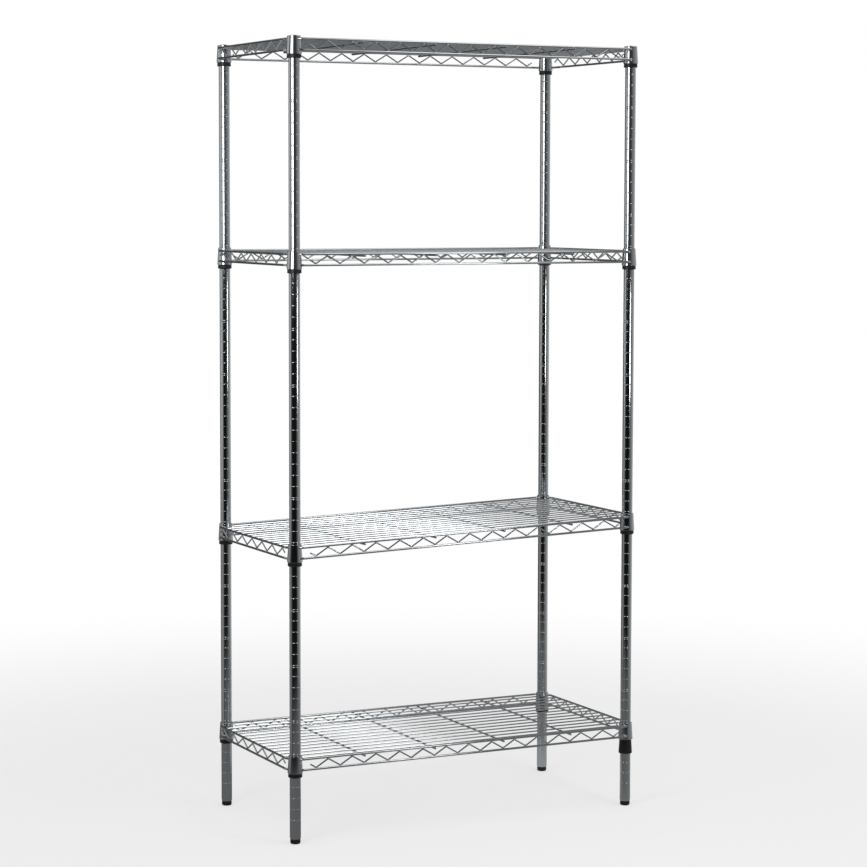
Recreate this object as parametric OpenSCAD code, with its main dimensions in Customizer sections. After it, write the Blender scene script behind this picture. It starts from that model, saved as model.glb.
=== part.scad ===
/* [Overall] */
// Distance between the post centres along the length
post_span_x = 868; // [600:2:1160]
// Distance between the post centres along the depth
post_span_y = 418; // [300:2:560]

/* [Posts] */
// Outer diameter of the post tubes
post_d = 25.4; // [22:0.1:30]
// Wall of the post tubes
post_wall = 1.2; // [0.9:0.1:2]
// Length of the lower tube of each post
lower_tube_len = 909; // [860:1:960]
// Length of the upper tube of each post
upper_tube_len = 903; // [700:1:1000]
// Distance between neighbouring grooves
groove_pitch = 25.4; // [23:0.1:27]
// Width of a groove
groove_w = 1.6; // [1.2:0.1:2.4]
// Depth of a groove
groove_depth = 0.5; // [0.3:0.05:0.7]
// Height of the first groove above the lower end of the lower tube
lower_first_groove = 45.4; // [36:0.1:55]
// Height of the first groove above the seam between the tubes
upper_first_groove = 25.4; // [15:0.1:40]
// Least plain length above the last groove of a tube
groove_end_margin = 12; // [8:0.5:14]
// Every so many grooves a second one marks the height
marker_every = 5; // [3:1:10]
// Distance of a marking groove below its neighbour
marker_drop = 4.45; // [3:0.05:8]
// Height over which a post's lower end is rolled inwards
roll_h = 4; // [2:0.5:8]
// How far the lower end is rolled inwards
roll_in = 1; // [0.4:0.1:1.6]
// Bevel of the tube ends at the seam
seam_bevel = 0.3; // [0.1:0.05:0.5]

/* [Post joints] */
// Outer diameter of the studs at the seam
joint_stud_d = 10; // [8:0.5:12]
// Reach of a stud into its socket
joint_stud_len = 22; // [15:1:30]
// Length of the sockets and plugs at the seam
joint_plug_len = 30; // [20:1:40]
// Clearance of everything pressed into a tube
plug_clearance = 0.05; // [0:0.01:0.2]
// Clearance of threads, stated as plain cylinders
thread_clearance = 0.1; // [0.05:0.01:0.2]
// Set-back of the plugs from the seam
joint_recess = 0.2; // [0:0.05:1]

/* [Feet] */
// Height of a foot pad
foot_h = 10.8; // [8:0.1:16]
// Distance of the pad's edge inside the post's outer surface
foot_inset = 0.95; // [0.2:0.05:1.2]
// Rounding of the pad's lower edge
foot_round = 2.5; // [1:0.1:4]
// Diameter of the foot stems
stem_d = 8; // [6:0.5:10]
// Depth of the stem in its pad
stem_grip = 7; // [4:0.5:7.5]
// Length of the threaded insert in the post
insert_len = 25; // [22:1:30]
// Length of the stem above the insert
stem_spare = 6; // [2:1:10]

/* [Caps] */
// Distance of the cap's edge inside the post's outer surface
cap_inset = 0.6; // [0.2:0.05:1]
// Height of the cap above the tube
cap_rise = 3; // [2:0.1:6]
// Height of the cap's straight rim
cap_rim = 0.8; // [0.4:0.1:1.6]
// Length of the cap's plug in the tube
cap_plug_len = 16; // [8:1:24]
// Wall of the cap's plug
cap_plug_wall = 1.4; // [1:0.1:2]

/* [Sleeves] */
// Height of a corner sleeve
sleeve_h = 50; // [46:0.5:60]
// Height of the inner bead above the sleeve's lower end
sleeve_bead_h = 30; // [26:0.5:33]
// Wall of a sleeve at its upper end
sleeve_top_wall = 0.6; // [0.5:0.05:1]
// Wall of a sleeve at its lower end
sleeve_bottom_wall = 3.6; // [2.8:0.05:4.2]
// Bevel round the sleeve's lower edge
sleeve_bevel = 1.2; // [0.4:0.1:1.4]
// Clearance between a sleeve and its post
sleeve_clearance = 0.1; // [0.05:0.01:0.2]
// Gap between the two halves of a sleeve
sleeve_gap = 0.4; // [0.2:0.1:1]

/* [Collars] */
// Height of a collar
collar_h = 40.5; // [38:0.5:42]
// Height of the collar's lower end above the sleeve's lower end
collar_seat = 9.2; // [6:0.1:12]
// Wall of a collar
collar_wall = 1.6; // [1.4:0.1:2.4]
// Clearance between a collar and its sleeve
collar_clearance = 0.15; // [0.1:0.01:0.3]
// Bevel on the collar's outer edges
collar_bevel = 0.5; // [0.2:0.1:0.7]

/* [Shelf heights] */
// Groove of the lower tubes under the bottom shelf, the lowest one is 0
bottom_groove = 5; // [4:1:12]
// Groove of the lower tubes under the left end of the lower shelf
lower_left_groove = 24; // [18:1:27]
// Groove of the lower tubes under the right end of the lower shelf
lower_right_groove = 25; // [18:1:27]
// Groove of the upper tubes under the upper shelf
upper_shelf_groove = 15; // [6:1:20]
// Grooves left free above the top shelf
top_free_grooves = 0; // [0:1:5]
// Grooves by which the bottom shelf's front right sleeve sits low
low_sleeve_drop = 1; // [0:1:2]

/* [Shelf wires] */
// Diameter of the rails
rail_d = 5.2; // [4.4:0.1:6.4]
// How far the rails reach inside the collars' widest outer radius
rail_set_in = 2; // [1:0.1:2.4]
// Height of the low rails above the collars' lower end
rail_low = 9; // [6:0.1:12]
// Distance between the low and the high rails
rail_gap = 24.5; // [20:0.1:28]
// Length of the bent end of a rail
rail_bend_len = 6.2; // [5.4:0.1:9]
// Radius of a rail's bends, at the wire's centre
rail_bend_r = 4; // [3.4:0.1:6]
// Place of the weld round the collar, from the rail's own direction
weld_angle = 65; // [58:1:74]
// Distance of a rail end's centre outside the collar's wall
weld_standoff = 0.15; // [0.1:0.05:0.4]
// Diameter of the zigzag wires
zigzag_d = 3.5; // [2.8:0.1:4.4]
// Distance between neighbouring bends on one rail
zigzag_pitch = 60; // [50:1:72]
// Least distance of the last bends from the post centres
zigzag_margin = 26; // [24:1:30]
// Reach of a zigzag's free end past its last bend
zigzag_tail = 14; // [8:0.5:15]
// Radius of a zigzag's bends, at the wire's centre
zigzag_bend_r = 3.5; // [2.4:0.1:6]
// Depth of the weld between a zigzag and a rail
zigzag_weld = 0.45; // [0.2:0.05:0.8]
// Diameter of the deck wires
deck_wire_d = 3.5; // [2.6:0.1:4.4]
// Distance between neighbouring deck wires
deck_pitch = 31.4; // [24:0.2:40]
// Least distance of the last deck wires from the rails
deck_margin = 20; // [16:0.5:22]
// Space between a deck wire's cut end and a collar
deck_end_gap = 1.5; // [1:0.1:4]
// Depth of a deck wire's end in the side rails
deck_end_grip = 1.6; // [1:0.1:2]
// Diameter of the cross ribs
rib_d = 4.5; // [3.6:0.1:5.4]
// Reach of the ribs past the centre of the rails
rib_overhang = 5.5; // [3:0.5:8]
// Depth of the weld between the ribs and the rails
rib_rail_weld = 0.15; // [0.1:0.05:0.5]
// Depth of the weld between the ribs and the deck wires
rib_deck_weld = 0.8; // [0.4:0.05:1.2]
// Bends between a zigzag's end and the outer rib
outer_rib_bends = 2; // [1:1:3]
// Bends between a zigzag's end and the inner rib
inner_rib_bends = 5; // [4:1:5]

/* [Hidden] */

// Corners, as signs of their places along the length and the depth
back_left = [-1, 1];
front_left = [-1, -1];
back_right = [1, 1];
front_right = [1, -1];
corners = [back_left, front_left, back_right, front_right];

steel = "silver";
plastic = "#17181a";
round_fn = 72;
wire_fn = 32;
// A bend is this much thicker than the straight wires, which reach this far into it
bend_swell = 0.1;
bend_reach = 0.3;
// Steps of a drawn arc
arc_steps = 8;

// Radii of the posts and of what goes into them
post_r = post_d / 2;
bore_r = post_r - post_wall;
plug_r = bore_r - plug_clearance;

// Heights along a post
seam_z = foot_h + lower_tube_len;
post_top_z = seam_z + upper_tube_len;
insert_z = foot_h + roll_h;

// Grooves
function groove_count(len, first) = floor((len - first - groove_end_margin) / groove_pitch) + 1;
lower_count = groove_count(lower_tube_len, lower_first_groove);
upper_count = groove_count(upper_tube_len, upper_first_groove);
function lower_groove_z(i) = foot_h + lower_first_groove + i * groove_pitch;
function upper_groove_z(i) = seam_z + upper_first_groove + i * groove_pitch;
function has_marker(i) = (i + 1) % marker_every == 0;

// The top shelf's sleeves clip on the marking groove where there is one
top_index = upper_count - 1 - top_free_grooves;
top_drop = has_marker(top_index) ? marker_drop : 0;

// A shelf is the pair of groove heights under its left and right ends
bottom_shelf = [lower_groove_z(bottom_groove), lower_groove_z(bottom_groove)];
lower_shelf = [lower_groove_z(lower_left_groove), lower_groove_z(lower_right_groove)];
upper_shelf = [upper_groove_z(upper_shelf_groove), upper_groove_z(upper_shelf_groove)];
top_shelf = [upper_groove_z(top_index) - top_drop, upper_groove_z(top_index) - top_drop];
low_sleeve_z = lower_groove_z(bottom_groove - low_sleeve_drop);

// Sleeve and collar, both on one cone
sleeve_r = post_r + sleeve_clearance;
function cone_r(z) = sleeve_r + sleeve_bottom_wall - (sleeve_bottom_wall - sleeve_top_wall) * z / sleeve_h;
function collar_bore_r(h) = cone_r(collar_seat + h) + collar_clearance;
function collar_r(h) = collar_bore_r(h) + collar_wall;

// Wires
rail_high = rail_low + rail_gap;
rail_out = collar_r(0) + rail_d / 2 - rail_set_in;
rail_x = post_span_x / 2 + rail_out;
rail_y = post_span_y / 2 + rail_out;
rib_drop = (rail_d + rib_d) / 2 - rib_rail_weld;
deck_drop = rib_drop - (rib_d + deck_wire_d) / 2 + rib_deck_weld;
// A round bend falls short of its corner, so the corners reach further into the rails
zigzag_slope = atan2(rail_gap - rail_d - zigzag_d, zigzag_pitch / 2);
zigzag_drop = (rail_d + zigzag_d) / 2 - zigzag_weld - zigzag_bend_r * (1 / cos(zigzag_slope) - 1);

function post_xy(c) = [c.x * post_span_x / 2, c.y * post_span_y / 2];
function groove_under(shelf, c) = c.x < 0 ? shelf[0] : shelf[1];
function collar_z(shelf, c) = groove_under(shelf, c) - sleeve_bead_h + collar_seat;
// Height h above the collars' lower ends, at any place along the length
function wire_z(shelf, x, h) =
    shelf[0] + (shelf[1] - shelf[0]) * (x / post_span_x + 0.5) - sleeve_bead_h + collar_seat + h;

// Outline of one groove in the post's surface, from below
function groove(z) = [
    [post_r, z - groove_w / 2],
    [post_r - groove_depth, z - groove_w / 4],
    [post_r - groove_depth, z + groove_w / 4],
    [post_r, z + groove_w / 2]
];

function groove_row(first, count) = [
    for (i = [0 : count - 1])
        let (z = first + i * groove_pitch)
        each concat(has_marker(i) ? groove(z - marker_drop) : [], groove(z))
];

module lower_post(c) {
    color(steel)
        translate([post_xy(c).x, post_xy(c).y, foot_h])
            rotate_extrude($fn = round_fn)
                polygon(concat(
                    [[bore_r - roll_in, 0], [post_r - roll_in, 0], [post_r, roll_h]],
                    groove_row(lower_first_groove, lower_count),
                    [
                        [post_r, lower_tube_len - seam_bevel],
                        [post_r - seam_bevel, lower_tube_len],
                        [bore_r, lower_tube_len],
                        [bore_r, roll_h]
                    ]
                ));
}

module upper_post(c) {
    color(steel)
        translate([post_xy(c).x, post_xy(c).y, seam_z])
            rotate_extrude($fn = round_fn)
                polygon(concat(
                    [[bore_r, 0], [post_r - seam_bevel, 0], [post_r, seam_bevel]],
                    groove_row(upper_first_groove, upper_count),
                    [[post_r, upper_tube_len], [bore_r, upper_tube_len]]
                ));
}

module at_posts() {
    for (c = corners)
        translate([post_xy(c).x, post_xy(c).y, 0])
            children();
}

// Threaded sockets in the tops of the lower tubes
module joint_sockets() {
    color(steel)
        at_posts()
            translate([0, 0, seam_z - joint_recess - joint_plug_len])
                difference() {
                    cylinder(r = plug_r, h = joint_plug_len, $fn = round_fn);
                    translate([0, 0, -1])
                        cylinder(d = joint_stud_d + 2 * thread_clearance, h = joint_plug_len + 2, $fn = round_fn);
                }
}

// Plugs with studs in the bottoms of the upper tubes
module joint_studs() {
    color(steel)
        at_posts() {
            translate([0, 0, seam_z + joint_recess])
                cylinder(r = plug_r, h = joint_plug_len, $fn = round_fn);
            translate([0, 0, seam_z - joint_stud_len])
                cylinder(d = joint_stud_d, h = joint_stud_len + joint_recess + 1, $fn = round_fn);
        }
}

// Threaded inserts that stand on the rolled ends of the posts
module foot_inserts() {
    color(steel)
        at_posts()
            translate([0, 0, insert_z])
                difference() {
                    cylinder(r = plug_r, h = insert_len, $fn = round_fn);
                    translate([0, 0, -1])
                        cylinder(d = stem_d + 2 * thread_clearance, h = insert_len + 2, $fn = round_fn);
                }
}

module foot_pad(c) {
    pad_r = post_r - foot_inset;
    hole_r = stem_d / 2 + plug_clearance;
    hole_z = foot_h - stem_grip - plug_clearance;
    color(plastic)
        translate([post_xy(c).x, post_xy(c).y, 0])
            rotate_extrude($fn = round_fn)
                polygon(concat(
                    [[0, 0]],
                    [
                        for (i = [0 : arc_steps])
                            let (a = 90 * i / arc_steps)
                            [pad_r - foot_round + foot_round * sin(a), foot_round - foot_round * cos(a)]
                    ],
                    [[pad_r, foot_h], [hole_r, foot_h], [hole_r, hole_z], [0, hole_z]]
                ));
}

module foot_stem(c) {
    stem_z = foot_h - stem_grip;
    color(steel)
        translate([post_xy(c).x, post_xy(c).y, stem_z])
            cylinder(d = stem_d, h = insert_z + insert_len + stem_spare - stem_z, $fn = round_fn);
}

module cap(c) {
    cap_r = post_r - cap_inset;
    dome_h = cap_rise - cap_rim;
    dome_r = (cap_r * cap_r + dome_h * dome_h) / (2 * dome_h);
    dome_angle = asin(cap_r / dome_r);
    color(steel)
        translate([post_xy(c).x, post_xy(c).y, post_top_z])
            rotate_extrude($fn = round_fn)
                polygon(concat(
                    [
                        [0, 0],
                        [plug_r - cap_plug_wall, 0],
                        [plug_r - cap_plug_wall, -cap_plug_len],
                        [plug_r, -cap_plug_len],
                        [plug_r, 0],
                        [cap_r, 0]
                    ],
                    [
                        for (i = [0 : arc_steps])
                            let (a = dome_angle * (1 - i / arc_steps))
                            [dome_r * sin(a), cap_rise - dome_r + dome_r * cos(a)]
                    ]
                ));
}

// One half of a sleeve, its bead clipped in the groove
module sleeve_half() {
    half_angle = 180 - 2 * asin(sleeve_gap / 2 / sleeve_r);
    bead_r = post_r - groove_depth + sleeve_clearance;
    bead_tip = groove_w / 4 - sleeve_clearance / 2;
    bead_root = groove_w / 2 - sleeve_clearance;
    rotate([0, 0, (180 - half_angle) / 2])
        rotate_extrude(angle = half_angle, $fn = round_fn)
            polygon([
                [sleeve_r, 0],
                [cone_r(0) - sleeve_bevel, 0],
                [cone_r(sleeve_bevel), sleeve_bevel],
                [cone_r(sleeve_h), sleeve_h],
                [sleeve_r, sleeve_h],
                [sleeve_r, sleeve_bead_h + bead_root],
                [bead_r, sleeve_bead_h + bead_tip],
                [bead_r, sleeve_bead_h - bead_tip],
                [sleeve_r, sleeve_bead_h - bead_root]
            ]);
}

module sleeve(groove_z, c) {
    color(plastic)
        translate([post_xy(c).x, post_xy(c).y, groove_z - sleeve_bead_h]) {
            sleeve_half();
            rotate([0, 0, 180])
                sleeve_half();
        }
}

module collar() {
    rotate_extrude($fn = round_fn)
        polygon([
            [collar_bore_r(0), 0],
            [collar_r(0) - collar_bevel, 0],
            [collar_r(collar_bevel), collar_bevel],
            [collar_r(collar_h - collar_bevel), collar_h - collar_bevel],
            [collar_r(collar_h) - collar_bevel, collar_h],
            [collar_bore_r(collar_h), collar_h]
        ]);
}

module collars(shelf) {
    color(steel)
        for (c = corners)
            translate([post_xy(c).x, post_xy(c).y, collar_z(shelf, c)])
                collar();
}

// A straight wire between two points
module wire(p, q, d) {
    v = q - p;
    translate(p)
        rotate([0, acos(v.z / norm(v)), atan2(v.y, v.x)])
            cylinder(d = d, h = norm(v), $fn = wire_fn);
}

// Direction of the line from p to q, and the signed turn at a point of a path
function heading(p, q) = atan2(q.y - p.y, q.x - p.x);
function turn(points, i) =
    let (t = heading(points[i], points[i + 1]) - heading(points[i - 1], points[i]))
    t > 180 ? t - 360 : t < -180 ? t + 360 : t;
// Length that the bend takes off the straight stretches beside it
function trim(points, i, bend_r) =
    i == 0 || i == len(points) - 1 ? 0 : bend_r * tan(abs(turn(points, i)) / 2) - bend_reach;

// A flat wire with a round bend at every point but its first and last
module bent_wire(points, d, bend_r) {
    last = len(points) - 1;
    for (i = [0 : last - 1]) {
        start = trim(points, i, bend_r);
        end = trim(points, i + 1, bend_r);
        translate(points[i])
            rotate([0, 0, heading(points[i], points[i + 1])])
                translate([start, 0, 0])
                    rotate([0, 90, 0])
                        cylinder(d = d, h = norm(points[i + 1] - points[i]) - start - end, $fn = wire_fn);
    }
    for (i = [1 : last - 1]) {
        t = turn(points, i);
        translate(points[i])
            rotate([0, 0, heading(points[i - 1], points[i])])
                translate([-bend_r * tan(abs(t) / 2), sign(t) * bend_r, 0])
                    rotate([0, 0, t > 0 ? -90 : 90 + t])
                        rotate_extrude(angle = abs(t), $fn = round_fn)
                            translate([bend_r, 0])
                                circle(d = d + bend_swell, $fn = wire_fn);
    }
}

// Weld and bend of a rail at height h, from the post centre: first along the rail, then across it
function weld_along(h) = (collar_r(h) + weld_standoff) * cos(weld_angle);
function weld_across(h) = (collar_r(h) + weld_standoff) * sin(weld_angle);
function bend_along(h) =
    weld_along(h) + sqrt(rail_bend_len * rail_bend_len - pow(rail_out - weld_across(h), 2));

// Rail along the length, on the side that the sign gives, sloping with its shelf
module long_rail(shelf, side, h) {
    slope = atan2(shelf[1] - shelf[0], post_span_x);
    weld_x = (post_span_x / 2 - weld_along(h)) / cos(slope);
    bend_x = (post_span_x / 2 - bend_along(h)) / cos(slope);
    weld_y = side * (post_span_y / 2 + weld_across(h));
    translate([0, 0, wire_z(shelf, 0, h)])
        rotate([0, -slope, 0])
            bent_wire([
                [-weld_x, weld_y],
                [-bend_x, side * rail_y],
                [bend_x, side * rail_y],
                [weld_x, weld_y]
            ], rail_d, rail_bend_r);
}

// Rail along the depth, at the end that the sign gives
module short_rail(shelf, side, h) {
    weld_y = post_span_y / 2 - weld_along(h);
    bend_y = post_span_y / 2 - bend_along(h);
    weld_x = side * (post_span_x / 2 + weld_across(h));
    translate([0, 0, wire_z(shelf, side * post_span_x / 2, h)])
        bent_wire([
            [weld_x, -weld_y],
            [side * rail_x, -bend_y],
            [side * rail_x, bend_y],
            [weld_x, weld_y]
        ], rail_d, rail_bend_r);
}

module rails(shelf) {
    color(steel)
        for (side = [-1, 1])
            for (h = [rail_low, rail_high]) {
                long_rail(shelf, side, h);
                short_rail(shelf, side, h);
            }
}

// Bends of a zigzag along its own length, as pairs of place and height, with its free ends
function end_bend(span) = floor((span - 2 * zigzag_margin) / zigzag_pitch) * zigzag_pitch / 2;
function zigzag_height(high) = high ? rail_high - zigzag_drop : rail_low + zigzag_drop;
function zigzag_bends(span, ends_high) =
    let (
        last = end_bend(span),
        half = zigzag_pitch / 2,
        count = round(2 * last / half),
        from = zigzag_height(ends_high),
        to = zigzag_height(!ends_high),
        tail_h = from + (to - from) * zigzag_tail / half
    )
    concat(
        [[-last - zigzag_tail, tail_h]],
        [for (i = [0 : count]) [-last + i * half, i % 2 == 0 ? from : to]],
        [[last + zigzag_tail, tail_h]]
    );

module zigzags(shelf) {
    slope = atan2(shelf[1] - shelf[0], post_span_x);
    color(steel)
        for (side = [-1, 1]) {
            translate([0, side * rail_y, wire_z(shelf, 0, 0)])
                rotate([90, -slope, 0])
                    bent_wire(zigzag_bends(post_span_x, false), zigzag_d, zigzag_bend_r);
            translate([side * rail_x, 0, wire_z(shelf, side * post_span_x / 2, 0)])
                rotate([90, 0, 90])
                    bent_wire(zigzag_bends(post_span_y, true), zigzag_d, zigzag_bend_r);
        }
}

// A deck wire ends in the side rails, or short of the collars where they are in its way
module deck_wires(shelf) {
    count = floor(2 * (rail_y - deck_margin) / deck_pitch) + 1;
    h = rail_high - deck_drop;
    clear_y = post_span_y / 2 - collar_r(0) - deck_end_gap - deck_wire_d / 2;
    color(steel)
        for (i = [0 : count - 1]) {
            y = (i - (count - 1) / 2) * deck_pitch;
            end_x = abs(y) < clear_y
                ? rail_x - rail_d / 2 + deck_end_grip
                : post_span_x / 2 - collar_r(0) - deck_end_gap;
            wire([-end_x, y, wire_z(shelf, -end_x, h)], [end_x, y, wire_z(shelf, end_x, h)], deck_wire_d);
        }
}

module ribs(shelf) {
    last = end_bend(post_span_x);
    h = rail_high - rib_drop;
    color(steel)
        for (side = [-1, 1])
            for (bends = [outer_rib_bends, inner_rib_bends]) {
                x = side * (last - bends * zigzag_pitch);
                z = wire_z(shelf, x, h);
                wire([x, -rail_y - rib_overhang, z], [x, rail_y + rib_overhang, z], rib_d);
            }
}

lower_post(back_left);  // lower_post_back_left
lower_post(front_left);  // lower_post_front_left
lower_post(back_right);  // lower_post_back_right
lower_post(front_right);  // lower_post_front_right
upper_post(back_left);  // upper_post_back_left
upper_post(front_left);  // upper_post_front_left
upper_post(back_right);  // upper_post_back_right
upper_post(front_right);  // upper_post_front_right
joint_sockets();
joint_studs();
foot_inserts();
cap(back_left);  // cap_back_left
cap(front_left);  // cap_front_left
cap(back_right);  // cap_back_right
cap(front_right);  // cap_front_right
foot_pad(back_left);  // foot_pad_back_left
foot_pad(front_left);  // foot_pad_front_left
foot_pad(back_right);  // foot_pad_back_right
foot_pad(front_right);  // foot_pad_front_right
foot_stem(back_left);  // foot_stem_back_left
foot_stem(front_left);  // foot_stem_front_left
foot_stem(back_right);  // foot_stem_back_right
foot_stem(front_right);  // foot_stem_front_right
sleeve(bottom_shelf[0], back_left);  // bottom_sleeve_back_left
sleeve(bottom_shelf[0], front_left);  // bottom_sleeve_front_left
sleeve(bottom_shelf[1], back_right);  // bottom_sleeve_back_right
sleeve(low_sleeve_z, front_right);  // bottom_sleeve_front_right
sleeve(lower_shelf[0], back_left);  // lower_sleeve_back_left
sleeve(lower_shelf[0], front_left);  // lower_sleeve_front_left
sleeve(lower_shelf[1], back_right);  // lower_sleeve_back_right
sleeve(lower_shelf[1], front_right);  // lower_sleeve_front_right
sleeve(upper_shelf[0], back_left);  // upper_sleeve_back_left
sleeve(upper_shelf[0], front_left);  // upper_sleeve_front_left
sleeve(upper_shelf[1], back_right);  // upper_sleeve_back_right
sleeve(upper_shelf[1], front_right);  // upper_sleeve_front_right
sleeve(top_shelf[0], back_left);  // top_sleeve_back_left
sleeve(top_shelf[0], front_left);  // top_sleeve_front_left
sleeve(top_shelf[1], back_right);  // top_sleeve_back_right
sleeve(top_shelf[1], front_right);  // top_sleeve_front_right
collars(bottom_shelf);  // bottom_collars
rails(bottom_shelf);  // bottom_rails
zigzags(bottom_shelf);  // bottom_zigzags
deck_wires(bottom_shelf);  // bottom_deck_wires
ribs(bottom_shelf);  // bottom_ribs
collars(lower_shelf);  // lower_collars
rails(lower_shelf);  // lower_rails
zigzags(lower_shelf);  // lower_zigzags
deck_wires(lower_shelf);  // lower_deck_wires
ribs(lower_shelf);  // lower_ribs
collars(upper_shelf);  // upper_collars
rails(upper_shelf);  // upper_rails
zigzags(upper_shelf);  // upper_zigzags
deck_wires(upper_shelf);  // upper_deck_wires
ribs(upper_shelf);  // upper_ribs
collars(top_shelf);  // top_collars
rails(top_shelf);  // top_rails
zigzags(top_shelf);  // top_zigzags
deck_wires(top_shelf);  // top_deck_wires
ribs(top_shelf);  // top_ribs
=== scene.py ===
# %% [markdown]
# # A chromed wire shelving unit
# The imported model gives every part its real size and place. This script keeps those places, builds
# finer versions of the parts that show, gives them their finishes, and sets up a small photo studio.

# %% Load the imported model
import bpy
import math
from mathutils import Matrix, Vector


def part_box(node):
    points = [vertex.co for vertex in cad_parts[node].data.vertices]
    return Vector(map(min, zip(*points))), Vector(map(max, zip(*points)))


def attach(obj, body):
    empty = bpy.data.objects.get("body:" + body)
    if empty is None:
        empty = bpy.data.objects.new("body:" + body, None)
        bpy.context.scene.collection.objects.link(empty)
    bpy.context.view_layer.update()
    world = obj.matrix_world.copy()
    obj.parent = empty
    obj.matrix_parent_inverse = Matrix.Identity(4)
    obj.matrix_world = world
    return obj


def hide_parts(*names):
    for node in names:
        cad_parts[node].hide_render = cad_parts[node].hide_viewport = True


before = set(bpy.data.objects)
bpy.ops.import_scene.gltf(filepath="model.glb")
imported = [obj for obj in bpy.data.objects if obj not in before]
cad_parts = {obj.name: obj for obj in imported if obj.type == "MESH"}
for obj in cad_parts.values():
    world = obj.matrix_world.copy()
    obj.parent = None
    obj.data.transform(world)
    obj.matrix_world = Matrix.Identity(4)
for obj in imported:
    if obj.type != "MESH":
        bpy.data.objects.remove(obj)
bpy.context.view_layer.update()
SHELVES = ("bottom", "lower", "upper", "top")

# %% [markdown]
# ## The camera
# The photograph was taken from the front left, about six metres away, with a long lens. The posts
# stay nearly upright in it although the lens is above the middle of the unit, so the camera is tilted
# less than it would have to be to look at the middle, and the picture is shifted down a little.

# %% Place the camera
IMAGE_PX, SENSOR_MM = 867, 36
LENS_PX, SHIFT_PX = 2593.0, -40
azimuth, pitch, roll = (math.radians(a) for a in (26.381, -4.313, 0.130))
bpy.ops.object.camera_add(location=(-2.7340, -5.5481, 1.4650))
camera = bpy.context.object
level = math.cos(pitch)
forward = Vector((math.sin(azimuth) * level, math.cos(azimuth) * level, math.sin(pitch)))
level_right = forward.cross(Vector((0, 0, 1))).normalized()
level_up = level_right.cross(forward)
right = level_right * math.cos(roll) + level_up * math.sin(roll)
up = right.cross(forward)
camera.rotation_euler = Matrix((right, up, -forward)).transposed().to_euler()
camera.data.sensor_width = SENSOR_MM
camera.data.lens = LENS_PX * SENSOR_MM / IMAGE_PX
camera.data.shift_y = SHIFT_PX / IMAGE_PX
camera.data.clip_end = 100
bpy.context.scene.camera = camera
print("lens:", round(camera.data.lens, 1), "mm")

# %% [markdown]
# ## Shader maths
# A finish is easier to read as a formula than as a web of nodes. This small class wraps a socket, so
# that `noise * 0.2 + 0.1` adds the Math nodes by itself.

# %% A class that wraps a socket
class Socket:
    """An output of a shader node. Arithmetic with it adds Math nodes to its tree."""

    def __init__(self, tree, out):
        self.tree, self.out = tree, out

    def node(self, kind, settings=None, **inputs):
        """Adds a node. An input is named, or in0, in1 ... by its number, and takes a value or a Socket."""
        made = self.tree.nodes.new(kind)
        for key, value in (settings or {}).items():
            setattr(made, key, value)
        for key, value in inputs.items():
            name = int(key[2:]) if key.startswith("in") and key[2:].isdigit() else key.replace("_", " ")
            if isinstance(value, Socket):
                self.tree.links.new(value.out, made.inputs[name])
            else:
                made.inputs[name].default_value = value
        return made

    def math(self, operation, a, b):
        made = self.node("ShaderNodeMath", {"operation": operation}, in0=a, in1=b)
        return Socket(self.tree, made.outputs[0])

    def __add__(self, other):
        return self.math("ADD", self, other)

    def __radd__(self, other):
        return self.math("ADD", other, self)

    def __sub__(self, other):
        return self.math("SUBTRACT", self, other)

    def __rsub__(self, other):
        return self.math("SUBTRACT", other, self)

    def __mul__(self, other):
        return self.math("MULTIPLY", self, other)

    def __rmul__(self, other):
        return self.math("MULTIPLY", other, self)

    def clamp(self, low, high):
        return self.math("MINIMUM", self.math("MAXIMUM", self, low), high)

    def mix(self, colour_a, colour_b):
        """The first colour where this socket is 0, the second where it is 1."""
        made = self.node("ShaderNodeMix", {"data_type": "RGBA"}, Factor=self, in6=colour_a, in7=colour_b)
        return Socket(self.tree, made.outputs[2])


def new_finish(name):
    """A material, its shader, and the place of each point as a Socket."""
    finish = bpy.data.materials.new(name)
    finish.use_nodes = True
    tree = finish.node_tree
    place = Socket(tree, tree.nodes.new("ShaderNodeTexCoord").outputs["Object"])
    return finish, tree.nodes["Principled BSDF"], place


def feed(shader, **sockets):
    for key, value in sockets.items():
        name = key.replace("_", " ")
        if isinstance(value, Socket):
            value.tree.links.new(value.out, shader.inputs[name])
        else:
            shader.inputs[name].default_value = value


def noise(place, scale, detail):
    made = place.node("ShaderNodeTexNoise", {}, Vector=place, Scale=scale, Detail=detail)
    return Socket(place.tree, made.outputs["Fac"])


def bump(height, strength, distance):
    made = height.node("ShaderNodeBump", {}, Height=height, Strength=strength, Distance=distance)
    return Socket(height.tree, made.outputs["Normal"])


# %% [markdown]
# ## Finishes
# Chrome plate is a mirror that is never quite even. The plating follows the soft waves of the steel
# under it, and thin films of grease and fine scratches spread the reflections a little. A plain
# metallic shader would give mirrors that are all alike, so noise at three scales varies this one: a
# film that is a hand wide, specks that are a millimetre wide, and waves in the surface. Drawn wire is
# straighter than rolled tube, so its waves are lower.

# %% Chrome plate
def chrome(name, colour, wave_scale, wave_height):
    finish, shader, place = new_finish(name)
    film = noise(place, scale=9.0, detail=3.0)
    specks = noise(place, scale=900.0, detail=1.0)
    waves = noise(place, scale=wave_scale, detail=1.0)
    shade = (film * 1.6 - 0.3).clamp(0, 1)
    darker = tuple(c * 0.93 for c in colour)
    feed(
        shader,
        Base_Color=shade.mix((*darker, 1), (*colour, 1)),
        Metallic=1.0,
        Roughness=0.05 + film * 0.05 + specks * 0.04,
        Normal=bump(waves, strength=1.0, distance=wave_height),
    )
    return finish


CHROME = (0.60, 0.63, 0.65)
tube_chrome = chrome("chromed tube", CHROME, wave_scale=14.0, wave_height=0.000025)
wire_chrome = chrome("chromed wire", CHROME, wave_scale=40.0, wave_height=0.000008)
print("chrome:", len(tube_chrome.node_tree.nodes), "nodes")

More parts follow.
